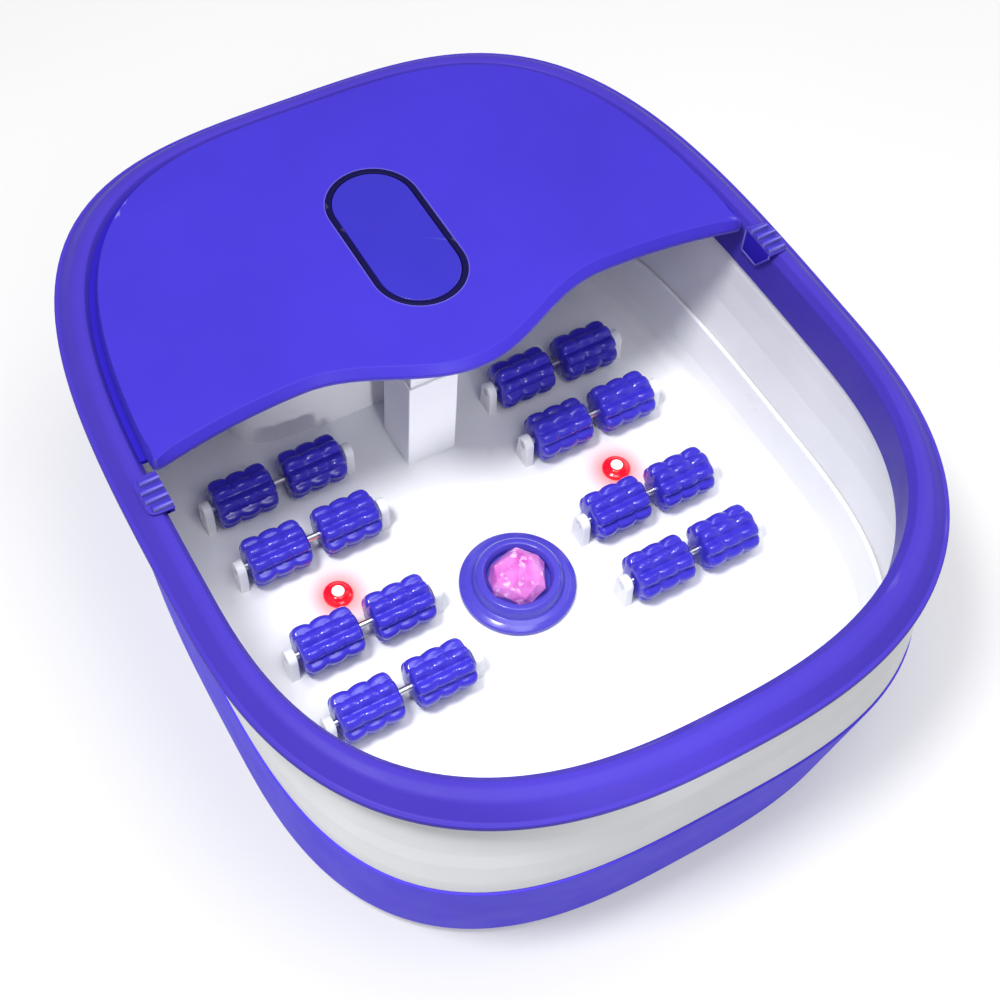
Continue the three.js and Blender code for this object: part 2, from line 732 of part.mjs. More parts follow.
function lidShape(inset) {
  const grow = -LID_INSET - inset;
  const reach = RIM.back + grow;
  const cornerY = LID_CORNER_Y + inset;
  const cornerAngle = Math.asin(((cornerY - JOIN_Y) / reach) ** (RIM.backPower / 2));
  const arcSteps = 44;
  const edgeSteps = 32;
  const arc = Array.from({ length: arcSteps + 1 }, (_, step) => {
    const angle = THREE.MathUtils.lerp(cornerAngle, Math.PI - cornerAngle, step / arcSteps);
    return outlinePoint(RIM, grow, angle);
  });
  const cornerX = arc[0].x;
  const edge = Array.from({ length: edgeSteps - 1 }, (_, step) => {
    const x = THREE.MathUtils.lerp(-cornerX, cornerX, (step + 1) / edgeSteps);
    return new THREE.Vector2(x, frontEdgeY(x, cornerX) + inset);
  });
  return new THREE.Shape([...arc, ...edge]);
}

// Space for the arm in the lid's back wall and in the underside of its plate.
function hingeNotch(side) {
  const half = HINGE_ARM.width / 2 + 1;
  const [low, high] = mirrored(side, HINGE.x - half, HINGE.x + half);
  const topZ = HINGE.z + HINGE.knuckleRadius + GAP;
  return block([low, HINGE.y - 5, LID_BOTTOM_Z - 5], [high, HINGE.y + 20, topZ]);
}

// Ears under the lid's plate, one on each side of the arm, which hold the pin's ends.
function hingeEars(side) {
  const half = HINGE_ARM.width / 2 + 1 + HINGE_EAR.width;
  const [low, high] = mirrored(side, HINGE.x - half, HINGE.x + half);
  const front = HINGE.y + HINGE_EAR.front;
  return block([low, front, LID_BOTTOM_Z], [high, HINGE.y + HINGE_EAR.back, LID_TOP_Z - LID_PLATE + 1]);
}

function lid() {
  const outside = slab(lidShape(0), LID_BOTTOM_Z, LID_TOP_Z, 1);
  const inside = slab(lidShape(LID_WALL), LID_BOTTOM_Z - 5, LID_TOP_Z - LID_PLATE);
  let shell = outside.subtract(inside);
  for (const side of [-1, 1]) {
    shell = shell.add(hingeEars(side)).subtract(hingeNotch(side)).subtract(pinBore(side));
  }
  const panelHole = slab(stadium(PANEL.radius + GAP, PANEL.straight, PANEL.y), 150, 180);
  return piece('lid', shell.subtract(panelHole), 'purple');
}

function panelSeal() {
  const ring = slab(stadium(PANEL.radius, PANEL.straight, PANEL.y), LID_TOP_Z - LID_PLATE, LID_TOP_Z + 0.4);
  const hole = slab(stadium(PANEL.radius - PANEL.seal, PANEL.straight, PANEL.y), 150, 180);
  return piece('panel_seal', ring.subtract(hole), 'seal');
}

function controlPanel() {
  const shape = stadium(PANEL.radius - PANEL.seal - GAP, PANEL.straight, PANEL.y);
  return piece('control_panel', slab(shape, LID_TOP_Z - LID_PLATE, LID_TOP_Z, 0.4), 'panel');
}

// Open box under the lid that holds the panel's board.
function panelHousing() {
  const topZ = LID_TOP_Z - LID_PLATE - GAP;
  const box = slab(stadium(HOUSING.radius, PANEL.straight, PANEL.y), HOUSING.bottomZ, topZ);
  const innerShape = stadium(HOUSING.radius - HOUSING.wall, PANEL.straight, PANEL.y);
  const inside = slab(innerShape, HOUSING.bottomZ + HOUSING.wall, topZ + 5);
  return piece('panel_housing', box.subtract(inside), 'purple');
}

function panelBoard() {
  const low = HOUSING.bottomZ + HOUSING.wall + GAP;
  const board = slab(stadium(HOUSING.radius - 4, PANEL.straight, PANEL.y), low, low + 1.6);
  const chip = block([-7, 80, low + 1.5], [7, 94, low + 3.4]);
  return piece('panel_board', board.add(chip), 'board');
}

// ---------------------------------------------------------------- assembly

function baseGroup() {
  const group = new THREE.Group();
  group.add(baseBand(), bottomPlate(), tubTray(), softWall(), powerInlet());
  group.add(heater(), airPump(), driverBoard(), stoneCup(), columnSleeve());
  FOOT_PLACES.forEach((place, index) => group.add(foot(`foot_${index + 1}`, place)));
  SCREW_PLACES.forEach((place, index) => group.add(baseScrew(`base_screw_${index + 1}`, place)));
  for (const [name, side] of [['left', -1], ['right', 1]]) {
    group.add(ledLens(`led_lens_${name}`, side), ledBoard(`led_board_${name}`, side));
    ROLLER_ROWS.forEach((_, row) => group.add(rollerSet(side, name, row)));
  }
  group.add(massageStone(), columnInner());
  return group;
}

function lidGroup() {
  const group = new THREE.Group();
  group.add(lid(), panelSeal(), controlPanel(), panelHousing(), panelBoard());
  return group;
}

function rimGroup() {
  const group = new THREE.Group();
  group.add(rim(), lidGroup());
  for (const [name, side] of [['left', -1], ['right', 1]]) {
    group.add(hingePin(`hinge_pin_${name}`, side), latch(`latch_${name}`, side));
  }
  return group;
}

const footBath = new THREE.Group();
footBath.add(baseGroup(), rimGroup());

export default footBath;
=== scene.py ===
"""A folding pedicure foot bath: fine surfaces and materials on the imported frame.

Shapes are worked out in millimetres and placed in metres, +Z up, front towards -Y. Plan outlines are
superellipses in two halves that meet at JOIN_Y.
"""

import json
import math
import random

import bmesh
import bpy
from mathutils import Matrix, Vector
from mathutils.geometry import tessellate_polygon


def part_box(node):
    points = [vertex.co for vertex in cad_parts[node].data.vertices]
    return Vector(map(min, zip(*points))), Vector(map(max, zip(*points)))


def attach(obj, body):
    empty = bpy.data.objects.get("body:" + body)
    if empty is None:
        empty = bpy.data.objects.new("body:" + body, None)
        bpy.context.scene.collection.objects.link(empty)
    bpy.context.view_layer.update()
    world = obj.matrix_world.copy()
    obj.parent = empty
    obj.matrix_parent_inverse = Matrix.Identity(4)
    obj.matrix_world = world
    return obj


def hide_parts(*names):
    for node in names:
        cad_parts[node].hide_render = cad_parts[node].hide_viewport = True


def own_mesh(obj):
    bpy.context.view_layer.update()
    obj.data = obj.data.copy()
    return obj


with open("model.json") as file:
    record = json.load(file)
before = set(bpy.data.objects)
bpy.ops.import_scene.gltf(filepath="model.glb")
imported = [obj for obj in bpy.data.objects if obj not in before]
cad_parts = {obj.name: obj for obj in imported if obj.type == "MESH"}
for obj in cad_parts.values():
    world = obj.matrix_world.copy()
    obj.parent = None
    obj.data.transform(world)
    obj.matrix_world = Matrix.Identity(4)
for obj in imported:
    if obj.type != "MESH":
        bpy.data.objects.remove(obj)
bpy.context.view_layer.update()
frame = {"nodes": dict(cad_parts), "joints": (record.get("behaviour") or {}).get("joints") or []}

# ---------------------------------------------------------------- driving dimensions

MM = 0.001
JOIN_Y = -47.1
SEGMENTS = 240

# An outline's reaches to the side, front and back are from its widest line, at JOIN_Y or "centre_y".
RIM = {
    "side": 180, "front": 171, "back": 265.2,
    "front_power": 2.58, "back_power": 3.4, "front_inset": 1.45,
}
BASE_TOP = {
    "side": 176.5, "front": 175.7, "back": 265.3,
    "front_power": 3.15, "back_power": 3.4, "front_inset": 1,
}
BASE_BOTTOM = {
    "side": 171.5, "front": 164.8, "back": 257.5,
    "front_power": 2.85, "back_power": 3, "front_inset": 1,
}
# the raised part of the tray, over the air pump and the driver board
HUMP = {
    "centre_y": 148, "side": 94, "front": 44, "back": 44,
    "front_power": 5, "back_power": 5, "front_inset": 1,
}
HUMP_TOP = 66

BASE_LOW, BASE_HIGH = (corner.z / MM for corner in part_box("base_band"))
WALL_LOW, WALL_HIGH = (corner.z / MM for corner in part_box("soft_wall"))
LID_LOW, LID_HIGH = (corner.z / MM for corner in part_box("lid"))
TRAY_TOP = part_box("tub_tray")[1].z / MM
FLOOR = 28
SHELL = 2.5

LID_INSET = 12.4
LID_WALL = 2.6
LID_PLATE = 3
LID_CORNER_Y = 22.5
LID_SHOULDER = (85, 32.5)
LID_BULGE = 25.5
LID_EDGE_SLOPE = {"front": 3.2, "side": 1.6}
LID_EDGE_FLAT = (1.2, 2.0)
LID_POINTS = 420
RIM_TOP = 165.2
RIM_STEP = {"y": 95, "z": 152}
LEDGE = {"front_y": 32, "hinge_half_width": 78, "hinge_y": 170}
LATCH = {
    "x": (166.5, 179), "y": (-1.5, 21.5), "low": 165.5,
    "pad": 1.4, "ribs": 4, "rib_height": 2.6, "corner": 5,
}
LATCH_TAB = {"bottom": 150, "tip_y": 7.5, "front_z": 163, "thick": 2.5}

HINGE_X = 40
HINGE_ARM = {"half_width": 3, "leg": (-4, -1), "run": (-10.2, -7.9), "wall_y": 208.6, "knuckle": 2}
HINGE_EAR = {"near": 4, "far": 11, "front": -2.4, "back": 2.2}

COLUMN = {"y": 69, "passage": 27.3}
BEYOND = 300  # past every part, for cutters

PANEL_Y = 97.7
PANEL_RADIUS = 25.1
PANEL_STRAIGHT = 24.6
SEAL_WIDTH = 3

# reach of the lamps' red glow that is painted into the tray floor's colour
GLOW_REACH = 0.024  # in metres, as materials are
SHARP_ANGLE = 35

SIDES = (("left", -1), ("right", 1))
STONE_Y = -43
ROLLER_ROWS = [70, 28, -33, -77]
ROLLER_AXIS = 43
ROLLER = {
    "knobs": 8, "bands": 3, "groove": 3.4, "knob": 3.2, "core": 6, "shoulder": 3,
    "around": 96, "along": 56,
}
POST = {"x": (46, 131), "half_width": 5, "half_thick": 2.5, "flare": 1, "bore": 2.3}

# ---------------------------------------------------------------- camera, floor and light

CAMERA_PLACE = Vector((-0.28262, -0.43430, 0.82148))
CAMERA_HEADING = 34.22
CAMERA_DIP = 55.91
CAMERA_ROLL = 5.2
CAMERA_LENS = 61.417
CAMERA_SENSOR = 36

AMBIENT = 0.34
SPOT = {"disk": 0.05, "blend": 0.8, "softness": 0.04}


def make_camera():
    data = bpy.data.cameras.new("camera")
    data.sensor_width = CAMERA_SENSOR
    data.lens = CAMERA_LENS
    camera = bpy.data.objects.new("camera", data)
    heading = Matrix.Rotation(math.radians(-CAMERA_HEADING), 4, "Z")
    dip = Matrix.Rotation(math.radians(90 - CAMERA_DIP), 4, "X")
    roll = Matrix.Rotation(math.radians(CAMERA_ROLL), 4, "Z")
    camera.matrix_world = Matrix.Translation(CAMERA_PLACE) @ heading @ dip @ roll
    bpy.context.scene.collection.objects.link(camera)
    bpy.context.scene.camera = camera


def area_light(name, place, target, size, power):
    data = bpy.data.lights.new(name, "AREA")
    data.shape = "DISK"
    data.size = size
    data.energy = power
    light = bpy.data.objects.new(name, data)
    aim = Vector(target) - Vector(place)
    light.matrix_world = Matrix.Translation(place) @ aim.to_track_quat("-Z", "Y").to_matrix().to_4x4()
    light.visible_camera = False
    bpy.context.scene.collection.objects.link(light)
    return light


def spot_light(name, place, target, angle, power):
    light = area_light(name, place, target, SPOT["disk"], power)
    light.data.type = "SPOT"
    data = bpy.data.lights[light.data.name]
    data.spot_size = math.radians(angle)
    data.spot_blend = SPOT["blend"]
    data.shadow_soft_size = SPOT["softness"]


def make_studio():
    scene = bpy.context.scene
    scene.view_settings.view_transform = "Standard"
    world = bpy.data.worlds.new("studio")
    world.use_nodes = True
    background = world.node_tree.nodes["Background"]
    background.inputs["Color"].default_value = (1, 1, 1, 1)
    background.inputs["Strength"].default_value = AMBIENT
    scene.world = world
    area_light("key", (-0.62, -0.16, 1.6), (0, 0, 0.05), 0.35, 24)
    area_light("top", (0.2, 0, 1.7), (0, 0, 0.05), 0.8, 6.5)
    area_light("side", (1.2, 0.15, 0.9), (0, 0, 0.1), 0.9, 6)
    area_light("inside", (-0.05, -0.30, 0.66), (0, 0.12, 0.05), 0.3, 1.3)
    spot_light("under_lid", (-0.08, -0.62, 0.37), (0.01, 0.11, 0.10), 20, 8)
    bpy.ops.mesh.primitive_plane_add(size=12)
    floor = bpy.context.object
    floor.name = "floor"
    floor.data.materials.append(floor_material())


# ---------------------------------------------------------------- materials

def new_material(name):
    material = bpy.data.materials.new(name)
    material.use_nodes = True
    tree = material.node_tree
    return material, tree, tree.nodes["Principled BSDF"]


def noise_node(tree, scale, detail=3):
    place = tree.nodes.new("ShaderNodeTexCoord")
    node = tree.nodes.new("ShaderNodeTexNoise")
    node.inputs["Scale"].default_value = scale
    node.inputs["Detail"].default_value = detail
    tree.links.new(place.outputs["Object"], node.inputs["Vector"])
    return node


def spread(tree, source, low, high):
    """Maps the middle of a noise's range to low..high."""
    node = tree.nodes.new("ShaderNodeMapRange")
    node.inputs["From Min"].default_value = 0.3
    node.inputs["From Max"].default_value = 0.7
    node.inputs["To Min"].default_value = low
    node.inputs["To Max"].default_value = high
    tree.links.new(source, node.inputs["Value"])
    return node.outputs["Result"]


def mix_colours(tree, share, first, second):
    node = tree.nodes.new("ShaderNodeMix")
    node.data_type = "RGBA"
    for socket, colour in ((node.inputs[6], first), (node.inputs[7], second)):
        if isinstance(colour, bpy.types.NodeSocket):
            tree.links.new(colour, socket)
        else:
            socket.default_value = (*colour, 1)
    tree.links.new(share, node.inputs[0])
    return node.outputs[2]


def linear(red, green, blue):
    """A display colour, 0 to 255, as the linear colour that shaders take."""
    def channel(value):
        share = value / 255
        return share / 12.92 if share <= 0.04045 else ((share + 0.055) / 1.055) ** 2.4
    return tuple(channel(value) for value in (red, green, blue))


def shaded(colour, factor):
    return tuple(min(1, channel * factor) for channel in colour)


def moulded(name, colour, roughness, grain=900, depth=0.05, coat=0.0, edge_wear_and_highlight=1.35, gloss=0.3):
    """Moulded plastic or rubber: cloudy colour, fine surface grain and lighter edges, partly edge wear and
    partly painted highlight.
    """
    material, tree, shader = new_material(name)
    cloud = spread(tree, noise_node(tree, 14, 4).outputs["Fac"], 0, 1)
    base = mix_colours(tree, cloud, shaded(colour, 0.95), shaded(colour, 1.05))
    geometry = tree.nodes.new("ShaderNodeNewGeometry")
    # lighter edges where Pointiness is high: partly edge wear, partly painted highlight along edges that
    # catch the light
    edge = tree.nodes.new("ShaderNodeMapRange")
    edge.inputs["From Min"].default_value = 0.53
    edge.inputs["From Max"].default_value = 0.62
    edge.inputs["To Max"].default_value = 0.4
    tree.links.new(geometry.outputs["Pointiness"], edge.inputs["Value"])
    paler_wear_and_highlight = tuple(channel + (1 - channel) * (edge_wear_and_highlight - 1) * 0.3 for channel in colour)
    tree.links.new(mix_colours(tree, edge.outputs["Result"], base, paler_wear_and_highlight), shader.inputs["Base Color"])
    smudge = noise_node(tree, 45, 5).outputs["Fac"]
    tree.links.new(spread(tree, smudge, roughness * 0.9, roughness * 1.12), shader.inputs["Roughness"])
    texture = noise_node(tree, grain, 2)
    bump = tree.nodes.new("ShaderNodeBump")
    bump.inputs["Strength"].default_value = depth
    bump.inputs["Distance"].default_value = 0.2 * MM
    tree.links.new(texture.outputs["Fac"], bump.inputs["Height"])
    tree.links.new(bump.outputs["Normal"], shader.inputs["Normal"])
    shader.inputs["Specular IOR Level"].default_value = gloss
    shader.inputs["Coat Weight"].default_value = coat
    shader.inputs["Coat Roughness"].default_value = 0.12
    return material


def floor_material():
    material, tree, shader = new_material("floor")
    cloud = spread(tree, noise_node(tree, 3, 2).outputs["Fac"], 0, 1)
    pale = mix_colours(tree, cloud, (0.45, 0.45, 0.45), (0.46, 0.46, 0.46))
    tree.links.new(pale, shader.inputs["Base Color"])
    shader.inputs["Emission Color"].default_value = (1, 1, 1, 1)
    shader.inputs["Emission Strength"].default_value = AMBIENT
    shader.inputs["Roughness"].default_value = 0.9
    shader.inputs["Specular IOR Level"].default_value = 0.1
    return material


def painted_lamp_glow(material, centres):
    """Paints the lit lenses' red glow into a white material's colour: reddens it round each lens, fading to
    nothing over GLOW_REACH.
    """
    tree = material.node_tree
    colour = tree.nodes["Principled BSDF"].inputs["Base Color"]
    for centre in centres:
        place = tree.nodes.new("ShaderNodeTexCoord")
        away = tree.nodes.new("ShaderNodeVectorMath")
        away.operation = "DISTANCE"
        away.inputs[1].default_value = centre
        tree.links.new(place.outputs["Object"], away.inputs[0])
        fade = tree.nodes.new("ShaderNodeMapRange")
        fade.interpolation_type = "SMOOTHSTEP"
        fade.inputs["From Max"].default_value = GLOW_REACH
        fade.inputs["To Min"].default_value = 0.85
        fade.inputs["To Max"].default_value = 0
        tree.links.new(away.outputs["Value"], fade.inputs["Value"])
        white = colour.links[0].from_socket
        # painted red glow: the white is mixed towards red near each lens
        tree.links.new(mix_colours(tree, fade.outputs["Result"], white, linear(250, 40, 50)), colour)


def brushed_metal(name, colour, roughness):
    material, tree, shader = new_material(name)
    stretch = tree.nodes.new("ShaderNodeMapping")
    stretch.inputs["Scale"].default_value = (40, 2500, 2500)
    place = tree.nodes.new("ShaderNodeTexCoord")
    tree.links.new(place.outputs["Object"], stretch.inputs["Vector"])
    lines = tree.nodes.new("ShaderNodeTexNoise")
    lines.inputs["Scale"].default_value = 1
    tree.links.new(stretch.outputs["Vector"], lines.inputs["Vector"])
    tone = mix_colours(tree, lines.outputs["Fac"], shaded(colour, 0.85), shaded(colour, 1.1))
    tree.links.new(tone, shader.inputs["Base Color"])
    rough = spread(tree, lines.outputs["Fac"], roughness * 0.8, roughness * 1.3)
    tree.links.new(rough, shader.inputs["Roughness"])
    shader.inputs["Metallic"].default_value = 1
    return material


def pink_crystal():
    """Polished quartz-like stone: cloudy pink with pale veins."""
    material, tree, shader = new_material("pink_crystal")
    cloud = noise_node(tree, 90, 5)
    body = mix_colours(
        tree, spread(tree, cloud.outputs["Fac"], 0, 1), linear(200, 80, 186), linear(238, 150, 226))
    veins = noise_node(tree, 240, 6)
    ramp = tree.nodes.new("ShaderNodeMapRange")
    ramp.inputs["From Min"].default_value = 0.56
    ramp.inputs["From Max"].default_value = 0.66
    tree.links.new(veins.outputs["Fac"], ramp.inputs["Value"])
    veined = mix_colours(tree, ramp.outputs["Result"], body, linear(246, 196, 238))
    tree.links.new(veined, shader.inputs["Base Color"])
    tree.links.new(spread(tree, veins.outputs["Fac"], 0.16, 0.3), shader.inputs["Roughness"])
    shader.inputs["Subsurface Weight"].default_value = 0.25
    shader.inputs["Subsurface Radius"].default_value = (0.006, 0.002, 0.005)
    shader.inputs["Coat Weight"].default_value = 0.5
    return material


def lit_lens(name, centre):
    """Red lens that glows: white-hot over the diode, deep red at its edge."""
    material, tree, shader = new_material(name)
    place = tree.nodes.new("ShaderNodeTexCoord")
    away = tree.nodes.new("ShaderNodeVectorMath")
    away.operation = "DISTANCE"
    away.inputs[1].default_value = centre
    tree.links.new(place.outputs["Object"], away.inputs[0])
    ramp = tree.nodes.new("ShaderNodeValToRGB")
    ramp.color_ramp.elements[0].color = (1, 0.8, 0.75, 1)
    ramp.color_ramp.elements[0].position = 0.24
    ramp.color_ramp.elements[1].color = (0.3, 0, 0.002, 1)
    ramp.color_ramp.elements[1].position = 0.36
    scaled = tree.nodes.new("ShaderNodeMath")
    scaled.operation = "MULTIPLY"
    scaled.inputs[1].default_value = 100
    tree.links.new(away.outputs["Value"], scaled.inputs[0])
    tree.links.new(scaled.outputs["Value"], ramp.inputs["Fac"])
    tree.links.new(ramp.outputs["Color"], shader.inputs["Emission Color"])
    shader.inputs["Emission Strength"].default_value = 6
    shader.inputs["Base Color"].default_value = (*linear(200, 20, 30), 1)
    shader.inputs["Roughness"].default_value = 0.15
    return material


def circuit_board():
    """Green laminate with a faint grid of tracks."""
    material, tree, shader = new_material("circuit_board")
    place = tree.nodes.new("ShaderNodeTexCoord")
    tracks = tree.nodes.new("ShaderNodeTexBrick")
    tracks.inputs["Scale"].default_value = 120
    tracks.inputs["Color1"].default_value = (*linear(24, 92, 48), 1)
    tracks.inputs["Color2"].default_value = (*linear(30, 104, 56), 1)
    tracks.inputs["Mortar"].default_value = (*linear(70, 140, 84), 1)
    tracks.inputs["Mortar Size"].default_value = 0.03
    tree.links.new(place.outputs["Object"], tracks.inputs["Vector"])
    tree.links.new(tracks.outputs["Color"], shader.inputs["Base Color"])
    shader.inputs["Roughness"].default_value = 0.45
    return material


MATERIALS = {
    "shell": moulded("violet_shell", linear(63, 50, 162), 0.42, edge_wear_and_highlight=1.2, gloss=0.08),
    # darker violet that paints the shade in the gap round the lid's edge; the rim's ledge and the latch
    # tabs take it
    "groove": moulded("violet_painted_shade", linear(42, 31, 160), 0.6, edge_wear_and_highlight=1.0, gloss=0),
    # the lid's strong lighter edges are painted highlight lines along its lip, edges and the latch ribs
    "lid": moulded("violet_lid", linear(56, 44, 170), 0.42, grain=1100, depth=0.08, edge_wear_and_highlight=1.9, gloss=0.12),
    "band": moulded("violet_band", linear(84, 69, 226), 0.5, gloss=0.05),
    "white": moulded("white_tray", linear(235, 236, 238), 0.3, edge_wear_and_highlight=1.0),
    # the tray floor's white carries the lamps' red glow, painted into its colour round each lens
    "tray": moulded("white_floor_painted_glow", linear(235, 236, 238), 0.3, edge_wear_and_highlight=1.0),
    "column": moulded("white_column", linear(247, 248, 250), 0.35, edge_wear_and_highlight=1.0),
    "soft": moulded("soft_white", linear(223, 224, 227), 0.48, grain=600, depth=0.08, edge_wear_and_highlight=1.0),
    "roller": moulded("roller_violet", linear(56, 47, 184), 0.22, coat=0.3),
    "cup": moulded("cup_violet", linear(74, 66, 184), 0.25, coat=0.3),
    "panel": moulded("panel_film", linear(44, 38, 158), 0.3, grain=500, depth=0.02, coat=0.1),
    "seal": moulded("navy_seal", linear(11, 8, 56), 0.55, gloss=0.08),
    "rubber": moulded("foot_rubber", linear(56, 56, 62), 0.85, depth=0.2),
    "black": moulded("black_plastic", linear(30, 30, 34), 0.4),
    "steel": brushed_metal("satin_steel", (0.6, 0.61, 0.63), 0.3),
    "board": circuit_board(),
    "stone": pink_crystal(),
}

# ---------------------------------------------------------------- mesh helpers

def make_object(name, vertices, faces, smooth_angle=SHARP_ANGLE):
    """A mesh in millimetres, turned into an object in metres with outward faces."""
    mesh = bpy.data.meshes.new(name)
    mesh.from_pydata([Vector(point) * MM for point in vertices], [], faces)
    build = bmesh.new()
    build.from_mesh(mesh)
    bmesh.ops.recalc_face_normals(build, faces=build.faces)
    build.to_mesh(mesh)
    build.free()
    mesh.shade_smooth()
    mesh.set_sharp_from_angle(angle=math.radians(smooth_angle))
    piece = bpy.data.objects.new(name, mesh)
    bpy.context.scene.collection.objects.link(piece)
    return piece


def finish_piece(piece, body, material, slot, *nodes):
    """Gives a piece its material, hangs it on the body it rides on and hides the CAD nodes it stands for.
    """
    piece.data.materials.clear()
    piece.data.materials.append(MATERIALS[material] if isinstance(material, str) else material)
    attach(piece, body)
    if nodes:
        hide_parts(*nodes)
    return piece


def join(name, pieces):
    """Several objects made into one mesh."""
    build = bmesh.new()
    for piece in pieces:
        build.from_mesh(piece.data)
    mesh = bpy.data.meshes.new(name)
    build.to_mesh(mesh)
    build.free()
    for piece in pieces:
        bpy.data.objects.remove(piece)
    mesh.set_sharp_from_angle(angle=math.radians(SHARP_ANGLE))
    joined = bpy.data.objects.new(name, mesh)
    bpy.context.scene.collection.objects.link(joined)
    return joined


def cut(piece, cutters):
    """Takes the cutters' volumes out of the piece."""
    for cutter in cutters:
        modifier = piece.modifiers.new("cut", "BOOLEAN")
        modifier.object = cutter
        modifier.solver = "EXACT"
    graph = bpy.context.evaluated_depsgraph_get()
    mesh = bpy.data.meshes.new_from_object(piece.evaluated_get(graph))
    piece.modifiers.clear()
    piece.data = mesh
    mesh.shade_smooth()
    mesh.set_sharp_from_angle(angle=math.radians(SHARP_ANGLE))
    for cutter in cutters:
        bpy.data.objects.remove(cutter)


def rounded(corners, steps=6):
    """Points of a closed or open profile whose (x, z, radius) corners are rounded."""
    points = []
    count = len(corners)
    for index, (x, z, radius) in enumerate(corners):
        here = Vector((x, z))
        before = Vector(corners[index - 1][:2]) - here
        after = Vector(corners[(index + 1) % count][:2]) - here
        if radius == 0 or before.length == 0 or after.length == 0:
            points.append(here)
            continue
        half = before.angle(after) / 2
        reach = min(radius / math.tan(half), 0.48 * before.length, 0.48 * after.length)
        start = here + before.normalized() * reach
        end = here + after.normalized() * reach
        for step in range(steps + 1):
            share = step / steps
            points.append(start.lerp(here, share).lerp(here.lerp(end, share), share))
    return points


def mix_outlines(first, second, share):
    return {key: first[key] + (second[key] - first[key]) * share for key in first}


def rim_outline(_):
    return RIM


def base_outline(z):
    return mix_outlines(BASE_BOTTOM, BASE_TOP, (z - BASE_LOW) / (BASE_HIGH - BASE_LOW))


def wall_outline(z):
    if z < BASE_HIGH:
        return base_outline(z)
    return mix_outlines(BASE_TOP, RIM, min(1, (z - BASE_HIGH) / (WALL_HIGH - BASE_HIGH)))


def outline_point(outline, grow, angle):
    """The point of a plan outline, grown outwards, in the direction of an angle from its centre."""
    in_front = math.sin(angle) < 0
    power = outline["front_power" if in_front else "back_power"]
    inward = grow * (outline["front_inset"] if in_front and grow < 0 else 1)
    across = abs(math.cos(angle)) / (outline["side"] + grow)
    along = abs(math.sin(angle)) / (outline["front" if in_front else "back"] + inward)
    reach = (across ** power + along ** power) ** (-1 / power)
    return reach * math.cos(angle), outline.get("centre_y", JOIN_Y) + reach * math.sin(angle)


def full_turn(steps):
    return [2 * math.pi * step / steps for step in range(steps)]


def loft(name, columns, closed):
    """A skin over copies of a profile set in a ring. An open profile is capped at both ends."""
    count, rows = len(columns), len(columns[0])
    faces = []
    for column in range(count):
        here, there = column * rows, ((column + 1) % count) * rows
        for row in range(rows if closed else rows - 1):
            following = (row + 1) % rows
            faces.append((here + row, there + row, there + following, here + following))
    if not closed:
        faces.append([column * rows for column in range(count)])
        faces.append([column * rows + rows - 1 for column in reversed(range(count))])
    return make_object(name, [point for column in columns for point in column], faces)


def sweep(name, profile, outline_at, segments=SEGMENTS, closed=True):
    """Sweeps a profile of (grow, z) points round the outline."""
    return loft(name, [
        [(*outline_point(outline_at(z), grow, angle), z) for grow, z in profile]
        for angle in full_turn(segments)
    ], closed)


def turned(name, profile, x, y, segments=96):
    """Turns a profile of (radius, z) points about an upright axis. It starts and ends on the axis."""
    vertices = [(x, y, profile[0][1])]
    rings = profile[1:-1]
    for radius, z in rings:
        for angle in full_turn(segments):
            vertices.append((x + radius * math.cos(angle), y + radius * math.sin(angle), z))
    vertices.append((x, y, profile[-1][1]))
    last = len(vertices) - 1
    faces = []
    for column in range(segments):
        following = (column + 1) % segments
        faces.append((0, 1 + following, 1 + column))
        for ring in range(len(rings) - 1):
            low, high = 1 + ring * segments, 1 + (ring + 1) * segments
            faces.append((low + column, low + following, high + following, high + column))
        top = 1 + (len(rings) - 1) * segments
        faces.append((top + column, top + following, last))
    return make_object(name, vertices, faces)


def prism(name, points, low, high, axis="X", bevel=0.4):
    """A plan of (u, v) points pushed along an axis from low to high, with small rounded edges."""
    order = {"X": lambda u, v, w: (w, u, v), "Z": lambda u, v, w: (u, v, w)}[axis]
    vertices = [order(u, v, low) for u, v in points] + [order(u, v, high) for u, v in points]
    count = len(points)
    faces = [list(range(count)), [count + index for index in reversed(range(count))]]
    for index in range(count):
        following = (index + 1) % count
        faces.append((index, following, count + following, count + index))
    piece = make_object(name, vertices, faces)
    if bevel:
        build = bmesh.new()
        build.from_mesh(piece.data)
        sharp = [edge for edge in build.edges if edge.calc_face_angle(0) > math.radians(SHARP_ANGLE)]
        bmesh.ops.bevel(build, geom=sharp, offset=bevel * MM, segments=3, affect="EDGES", profile=0.5)
        build.to_mesh(piece.data)
        build.free()
        piece.data.shade_smooth()
        piece.data.set_sharp_from_angle(angle=math.radians(SHARP_ANGLE))
    return piece


def rectangle(low_u, low_v, high_u, high_v):
    return [(low_u, low_v), (high_u, low_v), (high_u, high_v), (low_u, high_v)]


def stadium_point(radius, angle):
    """The point of the panel's outline in the direction of an angle from the panel's centre."""
    direction = Vector((math.cos(angle), math.sin(angle)))
    if abs(direction.y) * radius <= abs(direction.x) * PANEL_STRAIGHT:
        reach = radius / abs(direction.x)
    else:
        centre = math.copysign(PANEL_STRAIGHT, direction.y)
        along = centre * direction.y
        reach = along + math.sqrt(max(0, along ** 2 - PANEL_STRAIGHT ** 2 + radius ** 2))
    return direction.x * reach, PANEL_Y + direction.y * reach


def stadium_rings(name, profile, segments=192, closed=True):
    """Sweeps a profile of (radius, z) points round the panel's outline."""
    return loft(name, [
        [(*stadium_point(radius, angle), z) for radius, z in profile]
        for angle in full_turn(segments)
    ], closed)


